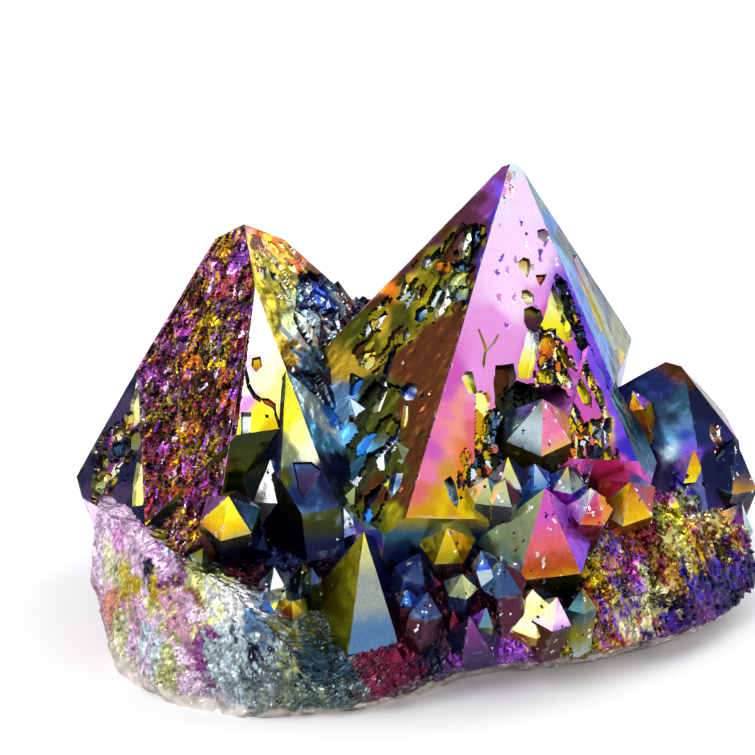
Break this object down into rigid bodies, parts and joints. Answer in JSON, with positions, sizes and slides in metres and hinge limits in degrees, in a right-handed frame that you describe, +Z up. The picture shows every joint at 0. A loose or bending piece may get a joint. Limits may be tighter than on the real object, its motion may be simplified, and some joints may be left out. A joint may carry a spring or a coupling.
{
  "type": "aura quartz cluster",
  "caption": "Hand-sized natural quartz cluster with pyramid-ended crystals on a rough matrix, coated with a rainbow metal film, resting on its flat underside.",
  "frame": {"origin": "centre of the bounding box, on the flat underside", "axes": "+X to the right of the cluster's front, +Y towards its back, +Z up along the crystals"},
  "size_m": [0.0872, 0.063, 0.0568],
  "materials": {
    "aura_coated_quartz": "opaque iridescent metal film on quartz: gold, magenta, violet, blue and olive from face to face"
  },
  "bodies": {
    "root": {"quartz_cluster": "aura_coated_quartz"}
  },
  "joints": []
}
